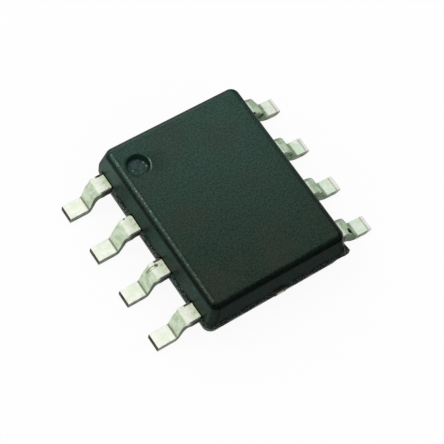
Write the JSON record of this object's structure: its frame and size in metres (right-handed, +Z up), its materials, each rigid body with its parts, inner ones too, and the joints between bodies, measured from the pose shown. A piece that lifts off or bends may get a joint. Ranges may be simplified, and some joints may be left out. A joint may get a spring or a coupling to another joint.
{
  "type": "eeprom chip",
  "caption": "Small-outline memory chip: a matte black moulded body with a round dimple beside its first lead and a row of gull-wing leads down each long side, for soldering flat on a board",
  "frame": {"origin": "bottom centre: z = 0 is the seating plane under the eight solder feet, and x = y = 0 is the middle of the body", "axes": "+Z is up, square to the top face. X runs across the two rows of leads and Y along them. Leads 1 to 4 stand on the -X side, from +Y to -Y, and leads 5 to 8 on the +X side, from -Y to +Y."},
  "size_m": [0.006, 0.005, 0.0014],
  "materials": {
    "mould_compound": "matte greenish-black moulding compound with a fine even grain",
    "lead_plating": "bright satin tin plating over copper alloy, bare dark copper on the sheared tips",
    "frame_metal": "plain stamped copper alloy",
    "die_glue": "cured silver-filled glue",
    "silicon": "polished silicon with sawn sides",
    "bond_wire": "drawn gold wire"
  },
  "bodies": {
    "root": {"mould_body": "mould_compound", "lead_1": "lead_plating", "lead_2": "lead_plating", "lead_3": "lead_plating", "lead_4": "lead_plating", "lead_5": "lead_plating", "lead_6": "lead_plating", "lead_7": "lead_plating", "lead_8": "lead_plating", "die_pad": "frame_metal", "die_glue": "die_glue", "silicon_die": "silicon", "bond_wire_1": "bond_wire", "bond_wire_2": "bond_wire", "bond_wire_3": "bond_wire", "bond_wire_4": "bond_wire", "bond_wire_5": "bond_wire", "bond_wire_6": "bond_wire", "bond_wire_7": "bond_wire", "bond_wire_8": "bond_wire"}
  },
  "joints": []
}
